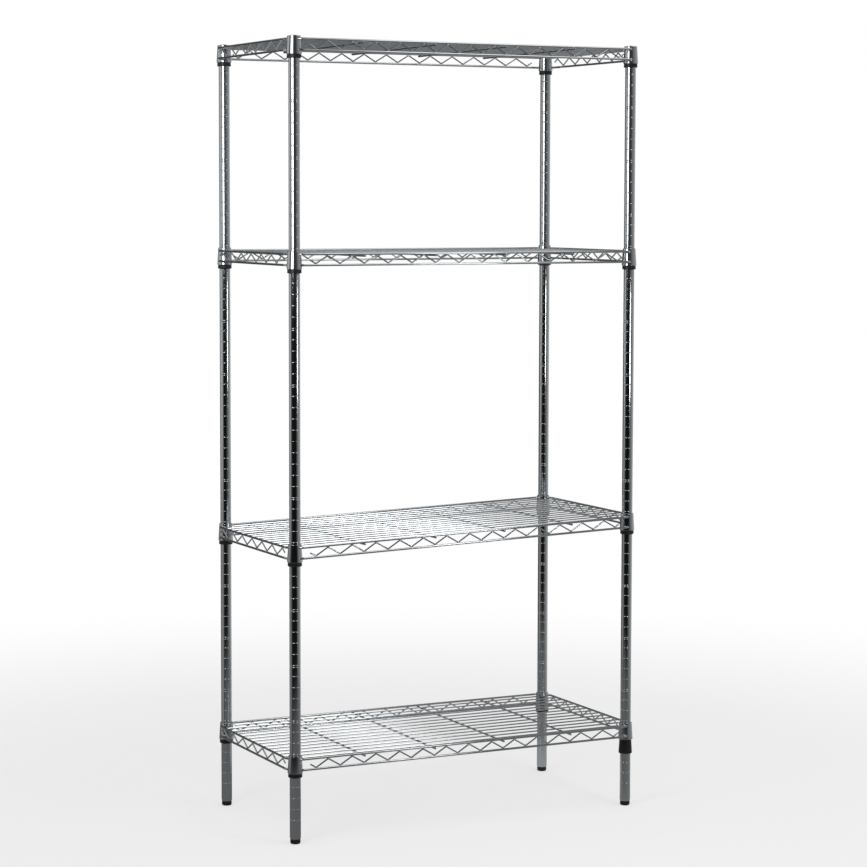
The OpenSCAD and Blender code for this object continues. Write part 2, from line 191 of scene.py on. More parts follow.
# %% [markdown]
# The sleeves and foot pads are moulded in black plastic. Their grain is that of a spark-eroded mould,
# too fine to model, so it is a bump. Handling leaves a film that changes the gloss from place to place.

# %% Black plastic
def black_plastic():
    finish, shader, place = new_finish("black plastic")
    grain = noise(place, scale=1400.0, detail=2.0)
    film = noise(place, scale=40.0, detail=2.0)
    feed(
        shader,
        Base_Color=film.mix((0.004, 0.004, 0.0045, 1), (0.009, 0.009, 0.010, 1)),
        Roughness=0.38 + film * 0.15,
        Normal=bump(grain, strength=0.5, distance=0.0001),
    )
    return finish


plastic = black_plastic()


def finish_of(name):
    if "sleeve" in name or "pad" in name:
        return plastic
    return tube_chrome if "post" in name or "collars" in name or "cap" in name else wire_chrome


for name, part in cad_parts.items():
    part.data.materials.clear()
    part.data.materials.append(finish_of(name))
print("plastic nodes:", sum(finish_of(name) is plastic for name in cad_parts))

# %% [markdown]
# ## Ways of shaping
# Nearly everything here is either turned on a lathe, like a post or a cap, or bent from round wire.
# Both start as a chain: one vertex, extruded from point to point. Spinning the chain gives a turned
# piece. Rounding its corners and giving it a thickness gives a wire. Primitives would do for the plain
# stretches, but not for the grooves and bends, which are what catches the light.

# %% Start, copy and hand over a piece
MERGE = 0.000002


def pick(*pieces):
    bpy.ops.object.select_all(action="DESELECT")
    for piece in pieces:
        piece.select_set(True)
    bpy.context.view_layer.objects.active = pieces[0]


def edit(piece):
    pick(piece)
    bpy.ops.object.mode_set(mode="EDIT")
    bpy.ops.mesh.select_mode(type="VERT")
    bpy.ops.mesh.select_all(action="SELECT")


def done():
    bpy.ops.object.mode_set(mode="OBJECT")
    return bpy.context.object


def chain(name, points):
    """One vertex at the first point, extruded to each of the others."""
    bpy.ops.object.select_all(action="DESELECT")
    bpy.ops.mesh.primitive_plane_add(size=0.001, location=(0, 0, 0))
    piece = bpy.context.object
    piece.name = name
    edit(piece)
    bpy.ops.mesh.merge(type="CENTER")
    bpy.ops.transform.translate(value=points[0])
    for before, after in zip(points, points[1:]):
        step = Vector(after) - Vector(before)
        bpy.ops.mesh.extrude_region_move(TRANSFORM_OT_translate={"value": step})
    return done()


def copied(piece, name, offset=(0, 0, 0), turn=0.0):
    pick(piece)
    bpy.ops.object.duplicate()
    made = bpy.context.object
    made.name = name
    made.rotation_euler = (0, 0, turn)
    made.location = offset
    bpy.ops.object.transform_apply(location=True, rotation=True, scale=True)
    return made


def joined(name, pieces):
    pick(*pieces)
    if len(pieces) > 1:
        bpy.ops.object.join()
    made = bpy.context.object
    made.name = name
    return made


def smooth(piece, angle=45):
    """Rounds the shading and keeps the long faces true, so that reflections stay straight in them."""
    pick(piece)
    bpy.ops.object.shade_smooth_by_angle(angle=math.radians(angle))
    bpy.ops.object.modifier_add(type="WEIGHTED_NORMAL")
    weighting = piece.modifiers[-1]
    weighting.mode = "FACE_AREA"
    weighting.weight = 90
    weighting.keep_sharp = True
    bpy.ops.object.modifier_apply(modifier=weighting.name)
    return piece


def hand_over(piece, finish, body, node=None):
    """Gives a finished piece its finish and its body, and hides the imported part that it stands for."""
    piece.data.materials.clear()
    piece.data.materials.append(finish)
    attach(piece, body)
    if node:
        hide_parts(node)


# %% Turn a piece on the lathe
def turned(name, outline, steps=64, rounding=0.0, segments=2, ring=False, sweep=360.0):
    """Spins an outline round the Z axis. A ring's is closed, any other starts and ends on the axis."""
    piece = chain(name, [(r, 0, z) for r, z in outline])
    edit(piece)
    if ring:
        bpy.ops.mesh.edge_face_add()
    if rounding:
        bpy.ops.mesh.bevel(offset=rounding, offset_type="OFFSET", segments=segments, affect="VERTICES")
        bpy.ops.mesh.select_all(action="SELECT")
    if ring and sweep == 360.0:
        bpy.ops.mesh.delete(type="ONLY_FACE")
        bpy.ops.mesh.select_all(action="SELECT")
    bpy.ops.mesh.spin(
        steps=steps, dupli=False, angle=math.radians(sweep), center=(0, 0, 0), axis=(0, 0, 1),
    )
    bpy.ops.mesh.select_all(action="SELECT")
    bpy.ops.mesh.remove_doubles(threshold=MERGE)
    bpy.ops.mesh.normals_make_consistent(inside=False)
    return done()


# %% Bend a wire
def bent_wire(name, points, diameter, bend, sides):
    """Rounds the corners of a chain, gives it a round thickness and rounds off its cut ends."""
    wire = chain(name, points)
    edit(wire)
    bpy.ops.mesh.bevel(offset=bend, offset_type="OFFSET", segments=5, affect="VERTICES")
    done()
    pick(wire)
    bpy.ops.object.convert(target="CURVE")
    wire = bpy.context.object
    wire.data.bevel_depth = diameter / 2
    wire.data.bevel_resolution = (sides - 4) // 2
    wire.data.use_fill_caps = True
    bpy.ops.object.convert(target="MESH")
    wire = bpy.context.object
    edit(wire)
    bpy.ops.mesh.remove_doubles(threshold=MERGE)
    bpy.ops.mesh.normals_make_consistent(inside=False)
    round_ends(diameter)
    return done()


def round_ends(diameter):
    """In edit mode, rounds the rims of the faces with many sides, which are a wire's cut ends."""
    bpy.ops.mesh.select_mode(type="FACE")
    bpy.ops.mesh.select_all(action="DESELECT")
    bpy.ops.mesh.select_face_by_sides(number=4, type="GREATER")
    bpy.ops.mesh.bevel(offset=diameter * 0.2, segments=2, affect="EDGES")


def straight_wire(name, start, end, diameter):
    start, end = Vector(start), Vector(end)
    bpy.ops.object.select_all(action="DESELECT")
    bpy.ops.mesh.primitive_cylinder_add(
        vertices=14, radius=diameter / 2, depth=(end - start).length,
        location=(start + end) / 2, rotation=(end - start).to_track_quat("Z", "Y").to_euler(),
    )
    wire = bpy.context.object
    wire.name = name
    bpy.ops.object.transform_apply(location=True, rotation=True, scale=True)
    edit(wire)
    round_ends(diameter)
    return done()


def repeated(piece, count, step):
    """Repeats a piece in a row."""
    pick(piece)
    bpy.ops.object.modifier_add(type="ARRAY")
    row = piece.modifiers[-1]
    row.use_relative_offset = False
    row.use_constant_offset = True
    row.constant_offset_displace = step
    row.count = count
    bpy.ops.object.modifier_apply(modifier=row.name)
    return piece


# %% [markdown]
# ## Posts
# A post is a one inch steel tube with a groove rolled round it at every inch. Every fifth groove has
# a twin just below it, by which the shelves are set level. The grooves have soft shoulders, and these
# catch the lights as two rows of small glints. A bump map could draw the grooves too, but it would leave
# the tube's edges straight, so they are part of the outline that is turned.

# %% Sizes of the posts
POST_X, POST_Y = 0.434, 0.209
POSTS = {"back_left": (-POST_X, POST_Y), "front_left": (-POST_X, -POST_Y),
         "back_right": (POST_X, POST_Y), "front_right": (POST_X, -POST_Y)}
POST_R, POST_WALL = 0.0127, 0.0012
BORE_R = POST_R - POST_WALL
PITCH, MARKER_DROP = 0.0254, 0.00445
GROOVE_W, GROOVE_DEPTH = 0.0016, 0.0005
LOW_LENGTH, LOW_FIRST, LOW_GROOVES = 0.909, 0.0454, 34
HIGH_LENGTH, HIGH_FIRST, HIGH_GROOVES = 0.903, 0.0254, 35
ROLL_H, ROLL_IN = 0.004, 0.001
EDGE, ROUNDING = 0.0004, 0.00026


def groove(z):
    r, w = POST_R, GROOVE_W
    return [(r, z - w / 2), (r - GROOVE_DEPTH, z - w / 4), (r - GROOVE_DEPTH, z + w / 4), (r, z + w / 2)]


def grooves(first, count):
    points = []
    for i in range(count):
        z = first + i * PITCH
        if (i + 1) % 5 == 0:
            points += groove(z - MARKER_DROP)
        points += groove(z)
    return points


# %% Turn the two halves of a post
low_outline = [
    (BORE_R - ROLL_IN, 0), (POST_R - ROLL_IN - 0.0003, 0.0002), (POST_R - 0.0003, ROLL_H * 0.55),
    (POST_R, ROLL_H), *grooves(LOW_FIRST, LOW_GROOVES),
    (POST_R, LOW_LENGTH - 0.0002), (POST_R - EDGE, LOW_LENGTH), (BORE_R, LOW_LENGTH), (BORE_R, ROLL_H),
]
high_outline = [
    (BORE_R, 0), (POST_R - EDGE, 0), (POST_R, 0.0002),
    *grooves(HIGH_FIRST, HIGH_GROOVES),
    (POST_R, HIGH_LENGTH - EDGE), (POST_R - EDGE, HIGH_LENGTH), (BORE_R, HIGH_LENGTH),
]
low_half = smooth(turned("lower_post", low_outline, rounding=ROUNDING, ring=True))
high_half = smooth(turned("upper_post", high_outline, rounding=ROUNDING, ring=True))
print("post halves:", len(low_half.data.polygons), len(high_half.data.polygons), "faces")

# %% Stand them at the corners
for corner, (x, y) in POSTS.items():
    for half, name in ((low_half, "lower_post"), (high_half, "upper_post")):
        node = f"{name}_{corner}"
        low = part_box(node)[0].z
        hand_over(copied(half, "shown_" + node, (x, y, low)), tube_chrome, "frame", node)
        print(node, "starts at", round(low, 4))
for half in (low_half, high_half):
    bpy.data.objects.remove(half)

# %% [markdown]
# ## Caps and feet
# A pressed steel cap with a slight crown closes the top of each post. The foot is a black plastic pad on
# a threaded stem that screws into the post. All three are round, so the lathe makes them, from outlines
# of (radius, height) points.

# %% Turn a cap
CROWN_H = 0.003
cap_outline = [
    (0, CROWN_H), (0.0055, 0.00275), (0.0098, 0.0019), (0.0117, 0.0011), (0.0121, 0.0004), (0.0121, 0),
    (0.01145, 0), (0.01145, -0.016), (0.01005, -0.016), (0.01005, 0), (0, 0),
]
cap_form = smooth(turned("cap", cap_outline, steps=48, rounding=0.0002), angle=60)
for corner, (x, y) in POSTS.items():
    node = f"cap_{corner}"
    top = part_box(node)[1].z
    hand_over(copied(cap_form, "shown_" + node, (x, y, top - CROWN_H)), tube_chrome, "frame", node)
print("cap:", len(cap_form.data.polygons), "faces, top at", round(top, 4))
bpy.data.objects.remove(cap_form)

# %% Turn a foot pad
pad_outline = [
    (0, 0.0), (0.0088, 0.0), (0.0105, 0.0007), (0.0114, 0.0019), (0.01175, 0.0034), (0.01175, 0.0088),
    (0.01145, 0.0092), (0.01145, 0.0097), (0.01175, 0.0101), (0.01175, 0.0108),
    (0.00405, 0.0108), (0.00405, 0.00375), (0, 0.00375),
]
pad_form = smooth(turned("foot_pad", pad_outline, steps=48, rounding=0.0002), angle=50)
for corner, (x, y) in POSTS.items():
    node = f"foot_pad_{corner}"
    hand_over(copied(pad_form, "shown_" + node, (x, y, 0)), plastic, f"foot_{corner}", node)
print("foot pad:", len(pad_form.data.polygons), "faces")
bpy.data.objects.remove(pad_form)

# %% [markdown]
# The stem of a foot shows only when the foot is screwed out. Its thread is turned as a row of rings,
# because at this pitch a ring looks like a turn of the helix and closes more cleanly at the ends.

# %% Turn the threaded stems
STEM_R, THREAD_PITCH, THREAD_DEPTH = 0.004, 0.00125, 0.0006
CREST_HALF = 0.0001
root_r = STEM_R - THREAD_DEPTH
stem_low, stem_high = (corner.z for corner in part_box("foot_stem_front_left"))
stem_outline = [(0, stem_low), (root_r, stem_low)]
for turn in range(int((stem_high - stem_low) / THREAD_PITCH)):
    crest = stem_low + (turn + 0.5) * THREAD_PITCH
    stem_outline += [(STEM_R, crest - CREST_HALF), (STEM_R, crest + CREST_HALF)]
    stem_outline += [(root_r, crest + THREAD_PITCH / 2)]
stem_outline += [(root_r, stem_high), (0, stem_high)]
stem_form = smooth(turned("foot_stem", stem_outline, steps=32), angle=30)
for corner, (x, y) in POSTS.items():
    node = f"foot_stem_{corner}"
    hand_over(copied(stem_form, "shown_" + node, (x, y, 0)), wire_chrome, f"foot_{corner}", node)
print("stem:", len(stem_form.data.polygons), "faces, from", round(stem_low, 4), "to", round(stem_high, 4))
bpy.data.objects.remove(stem_form)

# %% [markdown]
# ## Sleeves and collars
# Each shelf corner is a tapered steel collar that wedges on a tapered sleeve. The sleeve is two
# moulded halves that snap round the post, with a bead inside that sits in a groove. Half a turn of the
# lathe, less a narrow gap, makes one half, and both halves are copies of it.

# %% Turn half a sleeve and clip the pairs on
SLEEVE_IN, SLEEVE_WALL, SLEEVE_H, TAPER = 0.0128, 0.0036, 0.05, 0.003
BEAD_IN = 0.0123
HALF_SWEEP, HALF_GAP = 178.2, 0.9


def cone_r(z):
    """Outer radius of a sleeve at a height above its lower end."""
    return SLEEVE_IN + SLEEVE_WALL - TAPER * z / SLEEVE_H


sleeve_outline = [
    (SLEEVE_IN, 0), (cone_r(0) - 0.0012, 0), (cone_r(0.0012), 0.0012), (cone_r(SLEEVE_H), SLEEVE_H),
    (SLEEVE_IN, SLEEVE_H), (SLEEVE_IN, 0.0307), (BEAD_IN, 0.0303), (BEAD_IN, 0.0297), (SLEEVE_IN, 0.0293),
]
half_sleeve = turned("half_sleeve", sleeve_outline, steps=32, rounding=0.0002, ring=True, sweep=HALF_SWEEP)
smooth(half_sleeve)
print("half a sleeve:", len(half_sleeve.data.polygons), "faces")
for shelf in SHELVES:
    for corner, (x, y) in POSTS.items():
        node = f"{shelf}_sleeve_{corner}"
        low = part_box(node)[0].z
        turns = [math.radians(turn - HALF_GAP) for turn in (0, 180)]
        halves = [copied(half_sleeve, "half", (x, y, low), turn) for turn in turns]
        hand_over(joined("shown_" + node, halves), plastic, "frame", node)
bpy.data.objects.remove(half_sleeve)

# %% [markdown]
# A collar is pressed from sheet steel, as wide as the sleeve's cone at the height where it seats. Its
# lower edge has a small chamfer, its upper edge is only broken. All four of a shelf move together, so
# they are joined into one piece.

# %% Press a collar and set four in each shelf
COLLAR_H, COLLAR_WALL, SEAT = 0.0405, 0.0016, 0.0092
FIT_GAP = 0.00015
CHAMFER = 0.0006


def collar_r(h):
    """Outer radius of a collar at a height above its lower end."""
    return cone_r(SEAT + h) + FIT_GAP + COLLAR_WALL


collar_outline = [
    (collar_r(0) - COLLAR_WALL, 0), (collar_r(0) - 0.0004, 0), (collar_r(CHAMFER), CHAMFER),
    (collar_r(COLLAR_H - CHAMFER), COLLAR_H - CHAMFER), (collar_r(COLLAR_H) - 0.0005, COLLAR_H),
    (collar_r(COLLAR_H) - COLLAR_WALL, COLLAR_H),
]
collar_form = smooth(turned("collar", collar_outline, rounding=0.0003, segments=3, ring=True))


def seat_height(shelf, side):
    """Height of the collars' lower ends at the left or right end of a shelf."""
    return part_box(f"{shelf}_sleeve_back_{side}")[0].z + SEAT


for shelf in SHELVES:
    rings = []
    for corner, (x, y) in POSTS.items():
        side = "left" if x < 0 else "right"
        rings.append(copied(collar_form, "ring", (x, y, seat_height(shelf, side))))
    hand_over(joined(f"shown_{shelf}_collars", rings), tube_chrome, f"{shelf}_shelf", f"{shelf}_collars")
    print(shelf, "seats:", [round(seat_height(shelf, side), 4) for side in ("left", "right")])
bpy.data.objects.remove(collar_form)

# %% [markdown]
# ## Shelf wires
# One level shelf is modelled with its collars' lower ends at height zero, and then copied to the four
# heights. The lower shelf hangs one groove higher at its right end, so its copy slopes.

# %% Sizes of the shelf wires
RAIL_D, ZIGZAG_D, DECK_D, RIB_D = 0.0052, 0.0035, 0.0035, 0.0045
RAIL_LOW, RAIL_HIGH = 0.009, 0.0335
RAIL_OUT = collar_r(0) + RAIL_D / 2 - 0.002
RAIL_X, RAIL_Y = POST_X + RAIL_OUT, POST_Y + RAIL_OUT
WELD_ANGLE = math.radians(65)
BEND_REACH = 0.0062


def weld_point(h):
    """Where a rail ends on its collar, along and across the rail from the post's centre."""
    reach = collar_r(h) + FIT_GAP
    return reach * math.cos(WELD_ANGLE), reach * math.sin(WELD_ANGLE)


print("rails at x", round(RAIL_X, 5), "and y", round(RAIL_Y, 5))

# %% [markdown]
# The rails are straight wires whose ends are bent in to the collars. A wire is made as a chain of
# points with rounded corners and given a thickness, as a real one is drawn straight and then bent.

# %% Bend the rails
rails = []
for h in (RAIL_LOW, RAIL_HIGH):
    along, across = weld_point(h)
    bend = along + math.sqrt(BEND_REACH ** 2 - (RAIL_OUT - across) ** 2)
    for side in (-1, 1):
        x, y = POST_X - along, side * (POST_Y + across)
        path = [(-x, y, h), (bend - POST_X, side * RAIL_Y, h), (POST_X - bend, side * RAIL_Y, h), (x, y, h)]
        rails.append(bent_wire("rail", path, RAIL_D, bend=0.0016, sides=18))
        x, y = side * (POST_X + across), POST_Y - along
        path = [(x, -y, h), (side * RAIL_X, bend - POST_Y, h), (side * RAIL_X, POST_Y - bend, h), (x, y, h)]
        rails.append(bent_wire("rail", path, RAIL_D, bend=0.0016, sides=18))
rail_form = smooth(joined("rails", rails))
print("rails:", len(rail_form.data.polygons), "faces")

# %% [markdown]
# Each zigzag is one wire, folded up and down between the two rails of its side, with a short tail at
# both ends. Its corners reach just into the rails, because welding presses the hot wires together.

# %% Bend the zigzags
ZIGZAG_DROP, ZIGZAG_STEP, ZIGZAG_TAIL = 0.003444, 0.03, 0.014
LONG_LAST, SHORT_LAST = 0.39, 0.18


def zigzag_path(last, starts_high, place):
    """Corners from -last to last along the rail. place turns (along, height) into a point."""
    low, high = RAIL_LOW + ZIGZAG_DROP, RAIL_HIGH - ZIGZAG_DROP
    start, other = (high, low) if starts_high else (low, high)
    tail = start + (other - start) * ZIGZAG_TAIL / ZIGZAG_STEP
    corners = range(round(2 * last / ZIGZAG_STEP) + 1)
    path = [(-last - ZIGZAG_TAIL, tail)]
    path += [(-last + i * ZIGZAG_STEP, other if i % 2 else start) for i in corners]
    path += [(last + ZIGZAG_TAIL, tail)]
    return [place(a, h) for a, h in path]


zigzags = []
for side in (-1, 1):
    long_path = zigzag_path(LONG_LAST, False, lambda a, h: (a, side * RAIL_Y, h))
    short_path = zigzag_path(SHORT_LAST, True, lambda a, h: (side * RAIL_X, a, h))
    zigzags.append(bent_wire("zigzag", long_path, ZIGZAG_D, bend=0.0022, sides=12))
    zigzags.append(bent_wire("zigzag", short_path, ZIGZAG_D, bend=0.0022, sides=12))
zigzag_form = smooth(joined("zigzags", zigzags))
print("zigzags:", len(zigzag_form.data.polygons), "faces")

# %% [markdown]
# Fourteen straight wires make the deck, and four ribs under them carry it from front to back. The
# outer two wires are shorter, because the collars stand in their way.

# %% Lay the deck wires and the ribs
DECK_H, DECK_PITCH, INNER_WIRES = 0.032, 0.0314, 12
RIB_H, RIB_X, RIB_PITCH, RIBS = 0.0288, 0.27, 0.18, 4
inner_end, outer_end = RAIL_X - RAIL_D / 2 + 0.0016, POST_X - collar_r(0) - 0.0015
rib_end = RAIL_Y + 0.0055
first_y, outer_y = -5.5 * DECK_PITCH, 6.5 * DECK_PITCH
inner = straight_wire("deck_wire", (-inner_end, first_y, DECK_H), (inner_end, first_y, DECK_H), DECK_D)
deck = [repeated(inner, INNER_WIRES, (0, DECK_PITCH, 0))]
for y in (-outer_y, outer_y):
    deck.append(straight_wire("deck_wire", (-outer_end, y, DECK_H), (outer_end, y, DECK_H), DECK_D))
deck_form = smooth(joined("deck_wires", deck))
rib = straight_wire("rib", (-RIB_X, -rib_end, RIB_H), (-RIB_X, rib_end, RIB_H), RIB_D)
rib_form = smooth(repeated(rib, RIBS, (RIB_PITCH, 0, 0)))
print("deck wires:", len(deck_form.data.polygons), "ribs:", len(rib_form.data.polygons), "faces")

# %% [markdown]
# The wires are joined by resistance welding: the two are pressed together hot, and a little steel
# swells out beside each crossing. These beads are small, but they are what makes a crossing look
# welded instead of laid. They are flat ellipsoids, one made for each kind of crossing and repeated.

# %% Weld beads
def bead(place, size):
    """An ellipsoid at a place. Its size is half its length each way."""
    bpy.ops.object.select_all(action="DESELECT")
    bpy.ops.mesh.primitive_uv_sphere_add(segments=8, ring_count=6, radius=1, location=(0, 0, 0))
    made = bpy.context.object
    made.name = "bead"
    edit(made)
    bpy.ops.transform.resize(value=size)
    bpy.ops.transform.translate(value=place)
    return done()


ZIGZAG_PITCH = 2 * ZIGZAG_STEP
crossing = bead((-RIB_X, first_y - DECK_PITCH, RIB_H + 0.0019), (0.0022, 0.0024, 0.0009))
crossings = repeated(crossing, INNER_WIRES + 2, (0, DECK_PITCH, 0))
beads = [repeated(crossings, RIBS, (RIB_PITCH, 0, 0))]
for side in (-1, 1):
    under_rail = bead((-RIB_X, side * RAIL_Y, RIB_H + 0.0021), (0.003, 0.0026, 0.0009))
    beads.append(repeated(under_rail, RIBS, (RIB_PITCH, 0, 0)))
    at_rail = (side * (RAIL_X - RAIL_D / 2 + 0.0001), first_y, DECK_H + 0.0001)
    beads.append(repeated(bead(at_rail, (0.0009, 0.0025, 0.0022)), INNER_WIRES, (0, DECK_PITCH, 0)))
    for last, starts_high, long_way in ((LONG_LAST, False, True), (SHORT_LAST, True, False)):
        for high in (False, True):
            start = -last if high == starts_high else -last + ZIGZAG_STEP
            count = round(-2 * start / ZIGZAG_PITCH) + 1
            h = RAIL_HIGH - RAIL_D / 2 - 0.0001 if high else RAIL_LOW + RAIL_D / 2 + 0.0001
            if long_way:
                spot, size, step = (start, side * RAIL_Y, h), (0.003, 0.0019, 0.0009), (ZIGZAG_PITCH, 0, 0)
            else:
                spot, size, step = (side * RAIL_X, start, h), (0.0019, 0.003, 0.0009), (0, ZIGZAG_PITCH, 0)
            beads.append(repeated(bead(spot, size), count, step))
print("rows of beads between wires:", len(beads))

# %% [markdown]
# At a collar the bead lies flat on the steel. It stays outside the collar's bore, so that it clears
# the post when the shelf is lifted.

# %% Weld beads at the collars
BEAD_OUT = 0.0004
for h in (RAIL_LOW, RAIL_HIGH):
    along, across = weld_point(h)
    outside = across + BEAD_OUT
    for x in (-1, 1):
        for y in (-1, 1):
            beads.append(bead((x * (POST_X - along), y * (POST_Y + outside), h), (0.0034, 0.0016, 0.0031)))
            beads.append(bead((x * (POST_X + outside), y * (POST_Y - along), h), (0.0016, 0.0034, 0.0031)))
bead_form = smooth(joined("beads", beads), angle=80)
print("beads:", len(bead_form.data.polygons), "faces")

# %% [markdown]
# All four shelves are alike, so each takes copies of the same wires. A copy is raised to its collars.
# Where the right end sits higher it is sheared, not turned, so that its ends still meet the upright
# collars.

# %% Copy the wires to the four shelves
FORMS = {
    "rails": rail_form, "zigzags": zigzag_form, "deck_wires": deck_form, "ribs": rib_form, "welds": bead_form,
}
for shelf in SHELVES:
    left, right = seat_height(shelf, "left"), seat_height(shelf, "right")
    slope = (right - left) / (2 * POST_X)
    lean = Matrix(((1, 0, 0, 0), (0, 1, 0, 0), (slope, 0, 1, (left + right) / 2), (0, 0, 0, 1)))
    for kind, form in FORMS.items():
        made = copied(form, f"shown_{shelf}_{kind}")
        made.data.transform(lean)
        node = None if kind == "welds" else f"{shelf}_{kind}"
        hand_over(made, wire_chrome, f"{shelf}_shelf", node)
    print(shelf, "shelf: wires raised by", round((left + right) / 2, 4), "slope", round(slope, 4))
for form in FORMS.values():
    bpy.data.objects.remove(form)

# %% [markdown]
# ## The studio
# Chrome shows nothing but its surroundings, so the studio matters more than the finish. The floor is
# pale near the unit, where it takes the shadow, and turns into plain white further away, so that it
# runs into the white background without an edge.

# %% Shading by place
def white_to_sight(tree, plain, white, share=1.0):
    """Mixes plain with white for the rays that the camera sees directly, in chrome or through glass."""
    path = tree.nodes.new("ShaderNodeLightPath")
    rays = [Socket(tree, path.outputs[f"Is {kind} Ray"]) for kind in ("Camera", "Glossy", "Transmission")]
    seen = rays[0] + rays[1] + rays[2]
    mixer = tree.nodes.new("ShaderNodeMixShader")
    tree.links.new((seen.clamp(0, 1) * share).out, mixer.inputs[0])
    tree.links.new(plain.outputs[0], mixer.inputs[1])
    tree.links.new(white.outputs[0], mixer.inputs[2])
    return mixer


def ramped(value, low, high):
    """0 where the value is low, 1 where it is high, with a soft start and end."""
    made = value.node("ShaderNodeMapRange", {"interpolation_type": "SMOOTHSTEP"}, in0=value, in1=low, in2=high)
    return Socket(value.tree, made.outputs[0])


def distance_from_unit(place):
    level = place.node("ShaderNodeVectorMath", {"operation": "MULTIPLY"}, in0=place, in1=(1, 1, 0))
    made = place.node("ShaderNodeVectorMath", {"operation": "LENGTH"}, in0=Socket(place.tree, level.outputs[0]))
    return Socket(place.tree, made.outputs["Value"])


def part_of(place, axis):
    """The X, Y or Z of a place."""
    parts = place.node("ShaderNodeSeparateXYZ", {}, Vector=place)
    return Socket(place.tree, parts.outputs[axis])


# %% The white background
WHITE = (1, 1, 1, 1)
WORLD_STRENGTH = 0.6
world = bpy.data.worlds.new("studio")
bpy.context.scene.world = world
world.use_nodes = True
world_tree = world.node_tree
world_light = world_tree.nodes["Background"]
world_light.inputs["Color"].default_value = WHITE
world_light.inputs["Strength"].default_value = WORLD_STRENGTH
world_white = world_tree.nodes.new("ShaderNodeBackground")
world_white.inputs["Color"].default_value = WHITE
world_white.inputs["Strength"].default_value = 1.0
world_mix = white_to_sight(world_tree, world_light, world_white)
world_tree.links.new(world_mix.outputs[0], world_tree.nodes["World Output"].inputs[0])
print("world:", len(world_tree.nodes), "shader nodes")

# %% The floor
FLOOR_R, NEAR_FLOOR, FAR_FLOOR, NEAR_WHITE = 9, 0.8, 3.2, 0.55
bpy.ops.object.select_all(action="DESELECT")
bpy.ops.mesh.primitive_circle_add(vertices=96, radius=FLOOR_R, fill_type="NGON", location=(0, 0, 0))
floor = bpy.context.object
floor.name = "studio_floor"

floor_finish, floor_shader, floor_place = new_finish("pale floor")
feed(floor_shader, Base_Color=(0.9, 0.9, 0.9, 1), Roughness=0.8)
floor_tree = floor_finish.node_tree
floor_white = floor_tree.nodes.new("ShaderNodeEmission")
floor_white.inputs["Strength"].default_value = 1.0
far = ramped(distance_from_unit(floor_place), NEAR_FLOOR, FAR_FLOOR)
floor_mix = white_to_sight(floor_tree, floor_shader, floor_white, far * (1 - NEAR_WHITE) + NEAR_WHITE)
floor_tree.links.new(floor_mix.outputs[0], floor_tree.nodes["Material Output"].inputs[0])
floor.data.materials.append(floor_finish)
print("floor: radius", FLOOR_R, "m, white from", FAR_FLOOR, "m")

# %% [markdown]
# White all round would turn chrome white. Photographers put dark and grey screens outside the picture,
# and the chrome draws them as stripes along every tube. Here the screens are a round wall, a carpet, a
# ceiling and a flat panel on the left, and only the chrome sees them. They are no lamps and no lit cloth:
# each glows with painted light in its own grey, and the stripes are reflections of that glow. Their grey
# depends on the direction: nearly black in front and in a band behind, middle grey at both sides.

# %% Greys in every direction
def direction(angle):
    """Level direction, in degrees left of the unit's front."""
    a = math.radians(angle)
    return Vector((-math.sin(a), -math.cos(a), 0))


def round_about(place, greys):
    """A grey for every direction: greys is a list of (degrees left of the front, grey)."""
    made = place.node("ShaderNodeTexGradient", {"gradient_type": "RADIAL"}, Vector=place)
    turn = Socket(place.tree, made.outputs["Fac"])
    ramp = place.node("ShaderNodeValToRGB", {}, Fac=turn)
    stops = sorted(((0.25 - angle / 360) % 1.0, grey) for angle, grey in greys)
    elements = ramp.color_ramp.elements
    for element, (at, grey) in zip(elements, (stops[0], stops[-1])):
        element.position, element.color = at, (grey, grey, grey, 1)
    for at, grey in stops[1:-1]:
        elements.new(at).color = (grey, grey, grey, 1)
    return Socket(place.tree, ramp.outputs[0])


LOW_GREYS = [(222, 0.30), (206, 0.28), (192, 0.06), (160, 0.04), (140, 0.15), (120, 0.30), (95, 0.28),
             (90.1, 0.22), (89.9, 0.22), (80, 0.05), (66, 0.008), (-4, 0.008), (-14, 0.08), (-30, 0.19),
             (-50, 0.27), (-80, 0.44), (-110, 0.60), (-136, 0.35)]
HIGH_GREYS = [(222, 0.35), (206, 0.30), (192, 0.08), (160, 0.06), (140, 0.25), (120, 0.45), (95, 0.40),
              (90.1, 0.32), (89.9, 0.32), (80, 0.15), (66, 0.05), (-2, 0.06), (-14, 0.14), (-30, 0.24),
              (-50, 0.30), (-80, 0.42), (-110, 0.60), (-136, 0.38)]
NEAR_GREYS = [(222, 0.40), (190, 0.30), (150, 0.16), (90.1, 0.17), (89.9, 0.17), (0, 0.15), (-40, 0.18),
              (-60, 0.22), (-80, 0.36), (-110, 0.42), (-136, 0.40)]
CEILING_GREYS = [(222, 0.36), (180, 0.25), (130, 0.14), (90.1, 0.12), (89.9, 0.12), (0, 0.12), (-60, 0.14),
                 (-90, 0.25), (-110, 0.34), (-136, 0.38)]
for name, greys in (("low", LOW_GREYS), ("high", HIGH_GREYS), ("near", NEAR_GREYS), ("ceiling", CEILING_GREYS)):
    shades = [grey for angle, grey in greys]
    print(name, "greys:", len(greys), "stops from", min(shades), "to", max(shades))

# %% [markdown]
# The painted glow of the wall turns from its low greys to its high ones at about one metre, and the
# carpet's from its own greys to the wall's. The panel stands close by on the left, and its painted glow
# is brightest high at its back.

# %% Painted glow of each screen
SCREEN_R, SCREEN_TOP = 6.0, 4.0
PANEL_X, PANEL_FRONT, PANEL_BACK, PANEL_TOP = -1.3, -0.36, 1.6, 2.6
PANEL_FADE, PANEL_DARK = 0.6, 0.02


# Each function below gives the painted glow of one screen: light that only the chrome sees, in reflection.
def wall_glow(place):
    upper = ramped(part_of(place, "Z"), low=0.9, high=1.3)
    return upper.mix(round_about(place, LOW_GREYS), round_about(place, HIGH_GREYS))


